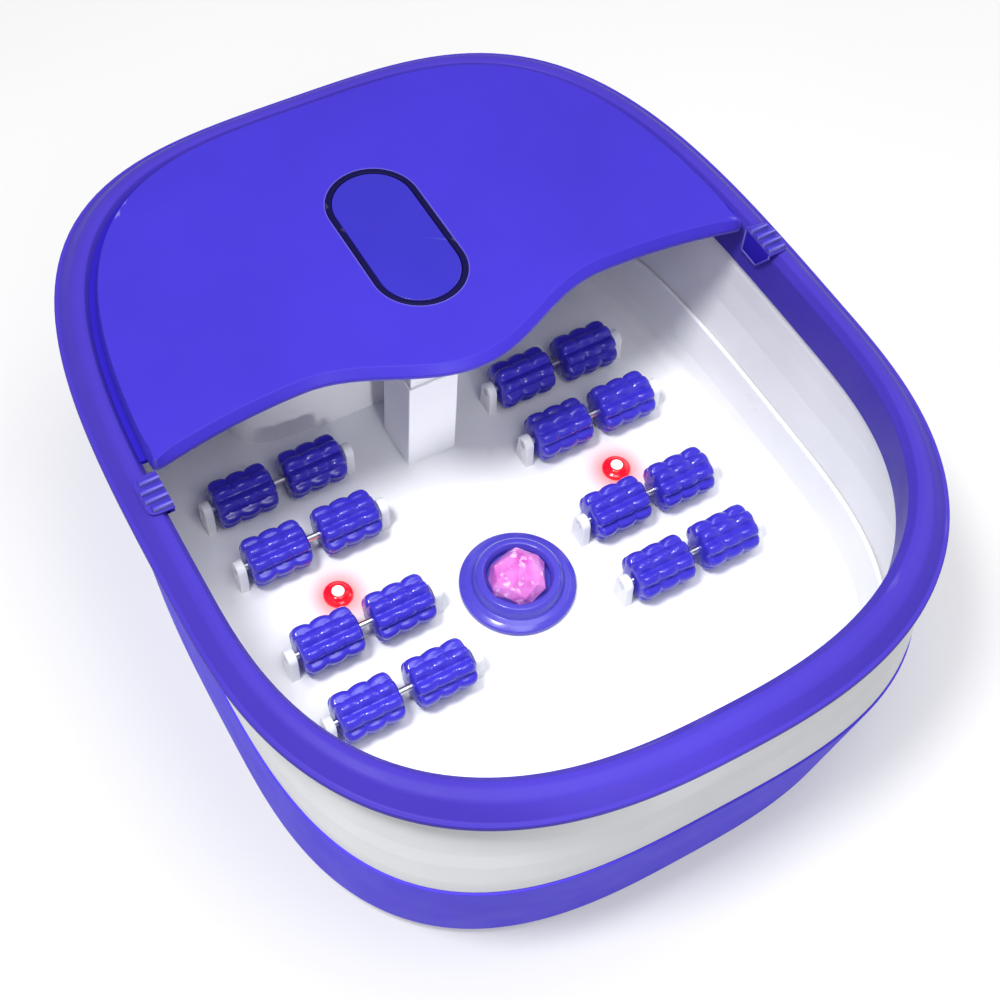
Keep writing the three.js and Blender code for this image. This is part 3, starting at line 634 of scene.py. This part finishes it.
def dress(node, material, bevel=0.0):
    """Gives a CAD node its material and, on square-cornered pieces, small rounded edges."""
    piece = frame["nodes"][node]
    piece.data.materials.clear()
    piece.data.materials.append(MATERIALS[material])
    if bevel:
        weld = piece.modifiers.new("weld", "WELD")
        weld.merge_threshold = 0.005 * MM
        edges = piece.modifiers.new("rounded_edges", "BEVEL")
        edges.width = bevel * MM
        edges.segments = 2
        edges.limit_method = "ANGLE"
        edges.angle_limit = math.radians(40)


# ---------------------------------------------------------------- base

def base_band():
    low, high = BASE_LOW, BASE_HIGH
    profile = rounded([
        (-2, low, 0.5),
        (0, low + 5, 4),
        (0, high, 1.4),
        (-SHELL, high, 0.7),
        (-SHELL, low + 6, 3),
        (-4, low, 0.3),
    ])
    band = sweep("base_band_shell", profile, base_outline)
    inlet_low, inlet_high = (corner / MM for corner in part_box("power_inlet"))
    gap = 0.5
    plan = rectangle(inlet_low.x - gap, inlet_low.y, inlet_high.x + gap, inlet_high.y + 20)
    cut(band, [prism("inlet_hole", plan, inlet_low.z - gap, inlet_high.z + gap, "Z", bevel=0)])
    finish_piece(band, "base", "band", "purple_shell", "base_band")


def soft_wall():
    """Soft skin with a rolled fold halfway up."""
    low, high = WALL_LOW, WALL_HIGH
    top = BASE_HIGH + 0.4
    profile = rounded([
        (-2.9, low, 0.5),
        (-2.9, top, 0.6),
        (-0.9, top, 1),
        (-0.1, 98, 8),
        (0.2, 112, 10),
        (-0.3, 121, 8),
        (-0.1, 130, 8),
        (-0.9, high, 0.8),
        (-4.4, high, 0.8),
        (-4.4, 137, 4),
        (-4.9, 124.5, 6),
        (-4.0, 112, 8),
        (-3.9, 93.5, 3),
        (-6.2, TRAY_TOP + 1.5, 2),
        (-6.2, low, 0.5),
    ])
    wall = sweep("soft_wall_skin", profile, wall_outline)
    finish_piece(wall, "base", "soft", "soft_white", "soft_wall")
    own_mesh(wall)


def tub_tray():
    profile = rounded([
        (-60, FLOOR, 0),
        (-19, FLOOR, 8),
        (-11.2, 33, 8),
        (-9.1, 44, 8),
        (-9.1, TRAY_TOP, 0.9),
        (-6.6, TRAY_TOP, 0.9),
        (-6.6, 42, 8),
        (-10, 29, 6),
        (-19, FLOOR - SHELL, 4),
        (-60, FLOOR - SHELL, 0),
    ])
    tray = sweep("tray_shell", profile, base_outline, closed=False)
    half = COLUMN["passage"] / 2
    passage = rectangle(-half, COLUMN["y"] - half, half, COLUMN["y"] + half)
    cut(tray, [prism("column_passage", passage, FLOOR - 5, FLOOR + 5, "Z", 0)])
    side = rounded([(1.5, FLOOR - 1, 0), (-2.5, HUMP_TOP, 7), (-40, HUMP_TOP, 0)])
    housing = sweep("tray_housing", side, lambda _: HUMP, segments=160, closed=False)
    centres = [sum(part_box(f"led_lens_{side_name}"), Vector()) / 2 for side_name, _ in SIDES]
    # paints the lamps' red glow into the tray floor's colour
    painted_lamp_glow(MATERIALS["tray"], centres)
    finish_piece(join("tub_tray_shell", [tray, housing]), "base", "tray", "white_plastic", "tub_tray")


def roller_posts():
    """Round-topped posts that carry the ends of every axle."""
    half, thick, foot = POST["half_width"], POST["half_thick"], POST["half_width"] + POST["flare"]
    arc = [math.pi * step / 16 for step in range(17)]
    crown = [(half * math.cos(angle), ROLLER_AXIS + half * math.sin(angle)) for angle in arc]
    outline = [(foot, FLOOR - 0.5), *crown, (-foot, FLOOR - 0.5)]
    posts = []
    for _, side in SIDES:
        for row_y in ROLLER_ROWS:
            plan = [(row_y + u, v) for u, v in outline]
            for middle in (side * post_x for post_x in POST["x"]):
                posts.append(prism("post", plan, middle - thick, middle + thick, "X", bevel=0.5))
    group = join("roller_posts", posts)
    circle = [(POST["bore"] * math.cos(angle), POST["bore"] * math.sin(angle)) for angle in full_turn(24)]
    bores = []
    for row_y in ROLLER_ROWS:
        plan = [(row_y + u, ROLLER_AXIS + v) for u, v in circle]
        bores.append(prism("bore", plan, -BEYOND, BEYOND, "X", bevel=0))
    cut(group, bores)
    finish_piece(group, "base", "white", "white_plastic", "tub_tray")


def stone_cup():
    profile = rounded([
        (0, FLOOR + 0.3, 0),
        (32, FLOOR + 0.3, 0.4),
        (32, 31.5, 1.2),
        (28.6, 33.2, 2),
        (25.4, 33.6, 1),
        (24, 38.2, 1),
        (22.4, 40, 1.2),
        (19.2, 40, 1.2),
        (17.7, 37, 1.5),
        (17.7, 33, 0.6),
        (0, 33, 0),
    ], steps=4)
    finish_piece(turned("stone_cup_ring", profile, 0, STONE_Y), "base", "cup", "roller_purple", "stone_cup")


def massage_stone():
    """A cut crystal: the hull of scattered points on a low dome."""
    scatter = random.Random(11)
    low, high = (corner.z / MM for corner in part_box("massage_stone"))
    build = bmesh.new()
    rings = [(16.6, 0.0, 9), (16.9, 0.30, 8), (14.4, 0.66, 7), (8.4, 0.92, 5), (1.8, 1.0, 2)]
    for radius, height, count in rings:
        for step in range(count):
            angle = 2 * math.pi * (step + scatter.uniform(-0.3, 0.3)) / count + height * 2
            reach = radius * scatter.uniform(0.9, 1)
            z = low + (high - low) * min(1, height * scatter.uniform(0.94, 1.04))
            build.verts.new(Vector((reach * math.cos(angle), STONE_Y + reach * math.sin(angle), z)) * MM)
    hull = bmesh.ops.convex_hull(build, input=build.verts)
    bmesh.ops.delete(build, geom=hull["geom_interior"], context="VERTS")
    bmesh.ops.bevel(build, geom=build.edges[:], offset=0.25 * MM, segments=1, affect="EDGES")
    mesh = bpy.data.meshes.new("cut_stone")
    build.to_mesh(mesh)
    build.free()
    stone = bpy.data.objects.new("cut_stone", mesh)
    bpy.context.scene.collection.objects.link(stone)
    finish_piece(stone, "stone", "stone", "pink_stone", "massage_stone")


def led_lens(side_name):
    low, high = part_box(f"led_lens_{side_name}")
    x, y = (low.x + high.x) / 2 / MM, (low.y + high.y) / 2 / MM
    profile = rounded([
        (0, FLOOR + 0.3, 0),
        (8, FLOOR + 0.3, 0.3),
        (8, 30.2, 1.2),
        (6.2, 31.2, 1),
        (4.6, 32.6, 2),
        (0, 33.1, 0),
    ], steps=5)
    lens = turned(f"light_lens_{side_name}", profile, x, y, segments=64)
    glow = lit_lens(f"red_lens_{side_name}", (x * MM, y * MM, 33 * MM))
    finish_piece(lens, "base", glow, "red_light", f"led_lens_{side_name}")


# ---------------------------------------------------------------- rollers

def roller(side_name, row, place):
    """A massage roller: rows of rounded knobs round a barrel, with grooves between them."""
    node = f"roller_{side_name}_{row}_{place}"
    low, high = (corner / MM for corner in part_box(node))
    centre_y, centre_z = (low.y + high.y) / 2, (low.z + high.z) / 2
    length, outer = high.x - low.x, (high.y - low.y) / 2
    around, along, core = ROLLER["around"], ROLLER["along"], ROLLER["core"]
    vertices = []
    for column in range(along + 1):
        share = column / along
        end = min(share, 1 - share) * length
        shoulder = math.sqrt(1 - (1 - min(1, end / ROLLER["shoulder"])) ** 2)
        band = abs(math.sin(math.pi * ROLLER["bands"] * share)) ** 0.45
        for angle in full_turn(around):
            knob = 0.5 + 0.5 * math.cos(ROLLER["knobs"] * angle)
            crown = 1 - (1 - knob) ** 2.2
            radius = outer - ROLLER["groove"] + ROLLER["knob"] * crown * (0.35 + 0.65 * band)
            radius = core + (radius - core) * (0.55 + 0.45 * shoulder)
            x = low.x + share * length
            vertices.append((x, centre_y + radius * math.cos(angle), centre_z + radius * math.sin(angle)))
    faces = []
    for column in range(along):
        here, there = column * around, (column + 1) * around
        for step in range(around):
            following = (step + 1) % around
            faces.append((here + step, here + following, there + following, there + step))
    faces.append(list(range(around)))
    faces.append([along * around + step for step in reversed(range(around))])
    piece = make_object(f"massage_{node}", vertices, faces, smooth_angle=60)
    finish_piece(piece, f"roller_set_{side_name}_{row}", "roller", "roller_purple", node)


# ---------------------------------------------------------------- rim

def rim():
    low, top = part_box("rim")[0].z / MM, RIM_TOP
    skirt = WALL_HIGH - 3.6
    profile = rounded([
        (7.6, skirt, 0.5),
        (7.4, skirt + 3, 2),
        (5.4, top - 8, 8),
        (-0.8, top - 1.3, 6),
        (-4.6, top + 0.15, 3),
        (-7.2, top - 0.5, 1.5),
        (-8.7, top - 3.2, 1.5),
        (-9.9, top - 5, 1.5),
        (-9.9, low, 0.7),
        (-7.4, low, 0.7),
        (-7.4, top - 6.2, 1),
        (-5.6, top - 3.3, 2),
        (-0.4, top - 4.2, 3),
        (3.2, top - 9.5, 4),
        (4.8, skirt, 0.5),
    ])
    shell = sweep("rim_ring", profile, rim_outline)
    rear_step = rectangle(-BEYOND, RIM_STEP["y"], BEYOND, BEYOND)
    cut(shell, [prism("rear_step", rear_step, low - 5, RIM_STEP["z"], "Z", 0)])
    finish_piece(shell, "upper_rim", "shell", "purple_shell", "rim")
    ledge_top = LID_LOW - 0.3
    ledge_low = ledge_top - 2.5
    ledge = sweep("rim_ledge", rounded([
        (-9, ledge_low, 0),
        (-9, ledge_top, 0),
        (-16.4, ledge_top, 0.6),
        (-16.4, ledge_low, 0.6),
    ]), rim_outline)
    in_front = rectangle(-BEYOND, -BEYOND, BEYOND, LEDGE["front_y"])
    half = LEDGE["hinge_half_width"]
    hinge_space = rectangle(-half, LEDGE["hinge_y"], half, BEYOND)
    cut(ledge, [prism("open_space", plan, 0, BEYOND, "Z", 0) for plan in (in_front, hinge_space)])
    # the ledge is coloured darker violet as painted shade in the gap between rim and lid
    finish_piece(ledge, "upper_rim", "groove", "purple_shell", "rim")
    for side_name, side in SIDES:
        hinge_arm(side_name, side)
        dress(f"hinge_pin_{side_name}", "steel")
        latch(side_name, side)


def latch(side_name, side):
    """Pad with stair-like ribs on top of the rim, and a tab with a raised border that hangs inside it."""
    near, far = LATCH["x"]
    front, back = LATCH["y"]
    low, pad_top = LATCH["low"], LATCH["low"] + LATCH["pad"]
    body, slot, node = f"latch_{side_name}_body", "purple_shell", f"latch_{side_name}"
    plan = [(side * x, y) for x, y in rounded([
        (near, front, 0.8),
        (far, front, LATCH["corner"]),
        (far, back, LATCH["corner"]),
        (near, back, 0.8),
    ])]
    pad = prism(f"latch_pad_{side_name}", plan, low, pad_top, "Z", 0.5)
    finish_piece(pad, body, "shell", slot, node)
    pitch = (back - front - 2) / LATCH["ribs"]
    steps = []
    for rib in range(LATCH["ribs"]):
        start = front + 1 + rib * pitch
        foot, crest = pad_top - 0.3, pad_top + LATCH["rib_height"]
        tooth = [(start, foot), (start + pitch, foot), (start + 1.8, crest), (start, crest)]
        reach = far - (2.6 if rib in (0, LATCH["ribs"] - 1) else 1)
        steps.append(prism("rib", tooth, *sorted((side * (near + 0.2), side * reach)), "X", 0.35))
    outline = [
        (front + 0.5, pad_top - 0.5),
        (front + 0.5, LATCH_TAB["front_z"]),
        (LATCH_TAB["tip_y"], LATCH_TAB["bottom"]),
        (back - 0.5, LATCH_TAB["bottom"]),
        (back - 0.5, pad_top - 0.5),
    ]
    border_spans = sorted((side * near, side * (near + 0.8)))
    for start, end in zip(outline, outline[1:]):
        steps.append(prism("border", strip(start, end, 1.0), *border_spans, "X", 0.25))
    finish_piece(join(f"latch_grip_{side_name}", steps), body, "lid", slot, node)
    tab_spans = sorted((side * (near + 0.5), side * (near + LATCH_TAB["thick"])))
    tab = prism(f"latch_tab_{side_name}", outline, *tab_spans, "X", 0.3)
    # the tab takes the darker violet of painted shade, as it hangs in the shade inside the rim
    finish_piece(tab, body, "groove", slot, node)


def strip(start, end, width):
    """A straight strip to the left of the line from start to end, with its ends square."""
    start, end = Vector(start), Vector(end)
    along = (end - start).normalized()
    across = Vector((-along.y, along.x)) * width
    return [start, end, end + across, start + across]


def hinge_arm(side_name, side):
    """Arm from the rim's inner wall, under the lid's back edge and up to a knuckle on the pin."""
    y, z = hinge_line()
    leg, run, knuckle = HINGE_ARM["leg"], HINGE_ARM["run"], HINGE_ARM["knuckle"]
    start = math.acos(leg[1] / knuckle)
    turn = [-start + (math.pi + start) * step / 16 for step in range(17)]
    crown = [(y + knuckle * math.cos(angle), z + knuckle * math.sin(angle)) for angle in turn]
    plan = [
        (HINGE_ARM["wall_y"], z + run[0]),
        (HINGE_ARM["wall_y"], z + run[1]),
        (y + leg[1], z + run[1]),
        *crown,
        (y + leg[0], z),
        (y + leg[0], z + run[0]),
    ]
    middle, half = side * HINGE_X, HINGE_ARM["half_width"]
    arm = prism(f"hinge_arm_{side_name}", plan, middle - half, middle + half, "X", 0.25)
    finish_piece(arm, "upper_rim", "shell", "purple_shell", "rim")


def hinge_line():
    """Where the lid's hinge axis is, as (y, z) in millimetres."""
    hinge = next(joint for joint in frame["joints"] if joint["name"] == "lid_hinge")
    return hinge["pos_m"][1] / MM, hinge["pos_m"][2] / MM


# ---------------------------------------------------------------- lid

def front_edge_y(x, corner_x):
    """Line of the lid's front edge: corners set forward, shoulders further back and a middle bulge."""
    reach = abs(x)
    shoulder_x, shoulder_y = LID_SHOULDER
    if reach > shoulder_x:
        share = (reach - shoulder_x) / (corner_x - shoulder_x)
        return shoulder_y + (LID_CORNER_Y - shoulder_y) * share ** 2
    return shoulder_y - LID_BULGE * math.cos(math.pi * reach / (2 * shoulder_x)) ** 2


def lid_outline():
    """Points of the lid's plan, anticlockwise from its right front corner, with rounded corners."""
    arc_steps, edge_steps = 1440, 400
    arc = [outline_point(RIM, -LID_INSET, math.pi * step / arc_steps) for step in range(arc_steps + 1)]
    arc = [(x, y) for x, y in arc if y >= LID_CORNER_Y]
    corner_x = arc[0][0]
    across = [corner_x * (2 * step / edge_steps - 1) for step in range(1, edge_steps)]
    loop = [Vector(point) for point in arc + [(x, front_edge_y(x, corner_x)) for x in across]]
    lengths = [0]
    for index in range(len(loop)):
        lengths.append(lengths[-1] + (loop[(index + 1) % len(loop)] - loop[index]).length)
    points, index = [], 0
    for step in range(LID_POINTS):
        target = lengths[-1] * step / LID_POINTS
        while lengths[index + 1] < target:
            index += 1
        share = (target - lengths[index]) / (lengths[index + 1] - lengths[index])
        points.append(loop[index].lerp(loop[(index + 1) % len(loop)], share))
    return smoothed(points, 3)


def smoothed(values, passes):
    """A closed row of numbers or points, each moved towards its neighbours a few times."""
    count = len(values)
    for _ in range(passes):
        values = [(values[i - 1] + 2 * values[i] + values[(i + 1) % count]) / 4 for i in range(count)]
    return values


def inset_point(points, index, distance):
    """One point of a closed plan moved inwards by a small distance."""
    along = (points[(index + 1) % len(points)] - points[index - 1]).normalized()
    return points[index] + Vector((-along.y, along.x)) * distance


def corner_limits(points):
    """How far each point of a closed plan can move inwards before the plan crosses itself at a corner.

    A point's limit is a share of the corner's radius there, and limits rise by at most one step a point.
    """
    count = len(points)
    share_of_radius, rise = 0.7, 0.8
    limits = []
    for index in range(count):
        before = points[index] - points[index - 2]
        after = points[(index + 2) % count] - points[index]
        limits.append(share_of_radius * before.length / max(before.angle(after), 0.001))
    for order in (range(2 * count), range(2 * count, 0, -1)):
        for index in order:
            neighbour = index - order.step
            limits[index % count] = min(limits[index % count], limits[neighbour % count] + rise)
    return limits


def shrink(points, distances, limits, full):
    """A closed plan moved inwards by a distance for each point, and less where it would cross itself."""
    shares = [min(1, limit / depth) for limit, depth in zip(limits, full)]
    return [inset_point(points, index, distances[index] * shares[index]) for index in range(len(points))]


def ring_faces(first, second, count):
    """Four-sided faces between two rings of vertices, given where each ring starts."""
    faces = []
    for index in range(count):
        following = (index + 1) % count
        faces.append((first + index, first + following, second + following, second + index))
    return faces


def flat_faces(vertices, outside, inside, count):
    """Triangles that fill the flat space between an outside ring and an inside ring."""
    loops = [[Vector(vertices[start + index]) for index in range(count)] for start in (outside, inside)]
    starts = (outside, inside - count)
    triangles = tessellate_polygon(loops)
    return [[starts[index // count] + index for index in triangle] for triangle in triangles]


def lid_outer_rings(outline, limits):
    """Rings from the lid's lower edge up its sloped side and on to its flat top."""
    slope = [LID_EDGE_SLOPE["front" if point.y < LID_SHOULDER[1] + 2 else "side"] for point in outline]
    slope = smoothed(slope, 12)
    shoulder = 1.3
    depths = [shoulder * width + LID_EDGE_FLAT[1] for width in slope]
    side = rounded([(0, LID_LOW, 0), (0, LID_LOW + 2.2, 1.2), (1, LID_HIGH, 1.2), (1.6, LID_HIGH, 0)])
    rows = [([width * share for width in slope], z) for share, z in side[:-1]]
    rows += [([shoulder * width + extra for width in slope], LID_HIGH) for extra in LID_EDGE_FLAT]
    return [[(*point, z) for point in shrink(outline, widths, limits, depths)] for widths, z in rows]


def lid_opening_rings(under):
    """Rings down through the panel's opening."""
    edge, lip = PANEL_RADIUS + 0.3, PANEL_RADIUS + 1.3
    return [
        [(*stadium_point(radius, angle), z) for angle in full_turn(LID_POINTS)]
        for radius, z in ((lip, LID_HIGH), (edge, LID_HIGH), (edge, under), (lip, under))
    ]


def lid_inner_rings(outline, limits, under):
    """Rings from the lid's flat underside down the inside of its wall."""
    full = LID_WALL + 3.5
    rows = (
        (full, under),
        (LID_WALL + 2, under - 0.4),
        (LID_WALL, under - 2),
        (LID_WALL, LID_LOW + 0.4),
        (LID_WALL - 0.4, LID_LOW),
    )
    return [
        [(*point, z) for point in shrink(outline, [width] * LID_POINTS, limits, [full] * LID_POINTS)]
        for width, z in rows
    ]


def lid():
    outline = lid_outline()
    limits = corner_limits(outline)
    low, under, count = LID_LOW, LID_HIGH - LID_PLATE, LID_POINTS
    outer = lid_outer_rings(outline, limits)
    opening = lid_opening_rings(under)
    inner = lid_inner_rings(outline, limits, under)
    vertices, faces = [], []
    for rings in (outer, opening, inner):
        for ring in range(len(rings) - 1):
            faces += ring_faces(len(vertices) + ring * count, len(vertices) + (ring + 1) * count, count)
        vertices += [point for ring in rings for point in ring]
    opening_start = len(outer) * count
    inner_start = opening_start + len(opening) * count
    faces += ring_faces(len(vertices) - count, 0, count)
    faces += flat_faces(vertices, opening_start - count, opening_start, count)
    faces += flat_faces(vertices, inner_start, inner_start - count, count)
    shell = make_object("lid_shell", vertices, faces)
    hinge_y, hinge_z = hinge_line()
    notches = []
    for side_name, side in SIDES:
        middle, half = side * HINGE_X, HINGE_ARM["half_width"] + 1
        plan = rectangle(middle - half, hinge_y - 5, middle + half, hinge_y + 20)
        notches.append(prism("notch", plan, low - 5, hinge_z + HINGE_ARM["knuckle"] + 0.3, "Z", 0))
        for place, direction in (("a", -1), ("b", 1)):
            near, far = sorted(middle + direction * HINGE_EAR[edge] for edge in ("near", "far"))
            plan = rectangle(hinge_y + HINGE_EAR["front"], low, hinge_y + HINGE_EAR["back"], under + 0.5)
            ear = prism(f"hinge_ear_{side_name}_{place}", plan, near, far, "X", 0.3)
            finish_piece(ear, "lid_assembly", "lid", "purple_shell", "lid")
    cut(shell, notches)
    finish_piece(shell, "lid_assembly", "lid", "purple_shell", "lid")


def control_panel():
    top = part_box("panel_seal")[1].z / MM
    under = LID_HIGH - LID_PLATE
    seal = stadium_rings("panel_seal_ring", rounded([
        (PANEL_RADIUS, under, 0),
        (PANEL_RADIUS, top, 0.7),
        (PANEL_RADIUS - SEAL_WIDTH, top, 0.7),
        (PANEL_RADIUS - SEAL_WIDTH, under, 0),
    ]))
    finish_piece(seal, "lid_assembly", "seal", "navy_seal", "panel_seal")
    edge = PANEL_RADIUS - SEAL_WIDTH - 0.3
    film = stadium_rings("panel_film", rounded([
        (4, under, 0),
        (edge, under, 0),
        (edge, LID_HIGH, 0.5),
        (4, LID_HIGH, 0),
    ]), closed=False)
    finish_piece(film, "lid_assembly", "panel", "panel_film", "control_panel")


# ---------------------------------------------------------------- the whole object

def remaining_nodes():
    dress("bottom_plate", "white")
    for node in ("column_sleeve", "column_inner"):
        dress(node, "column", bevel=1.2)
    for node in ("power_inlet", "air_pump"):
        dress(node, "black", bevel=0.4)
    dress("heater", "steel", bevel=0.4)
    for node in ("driver_board", "led_board_left", "led_board_right", "panel_board"):
        dress(node, "board")
    dress("panel_housing", "shell")
    for index in range(1, 5):
        dress(f"foot_{index}", "rubber")
        dress(f"base_screw_{index}", "steel")


make_camera()
make_studio()
base_band()
soft_wall()
tub_tray()
roller_posts()
stone_cup()
massage_stone()
for side_name, _ in SIDES:
    led_lens(side_name)
    for row in range(1, len(ROLLER_ROWS) + 1):
        dress(f"axle_{side_name}_{row}", "steel")
        for place in ("inner", "outer"):
            roller(side_name, row, place)
rim()
lid()
control_panel()
remaining_nodes()
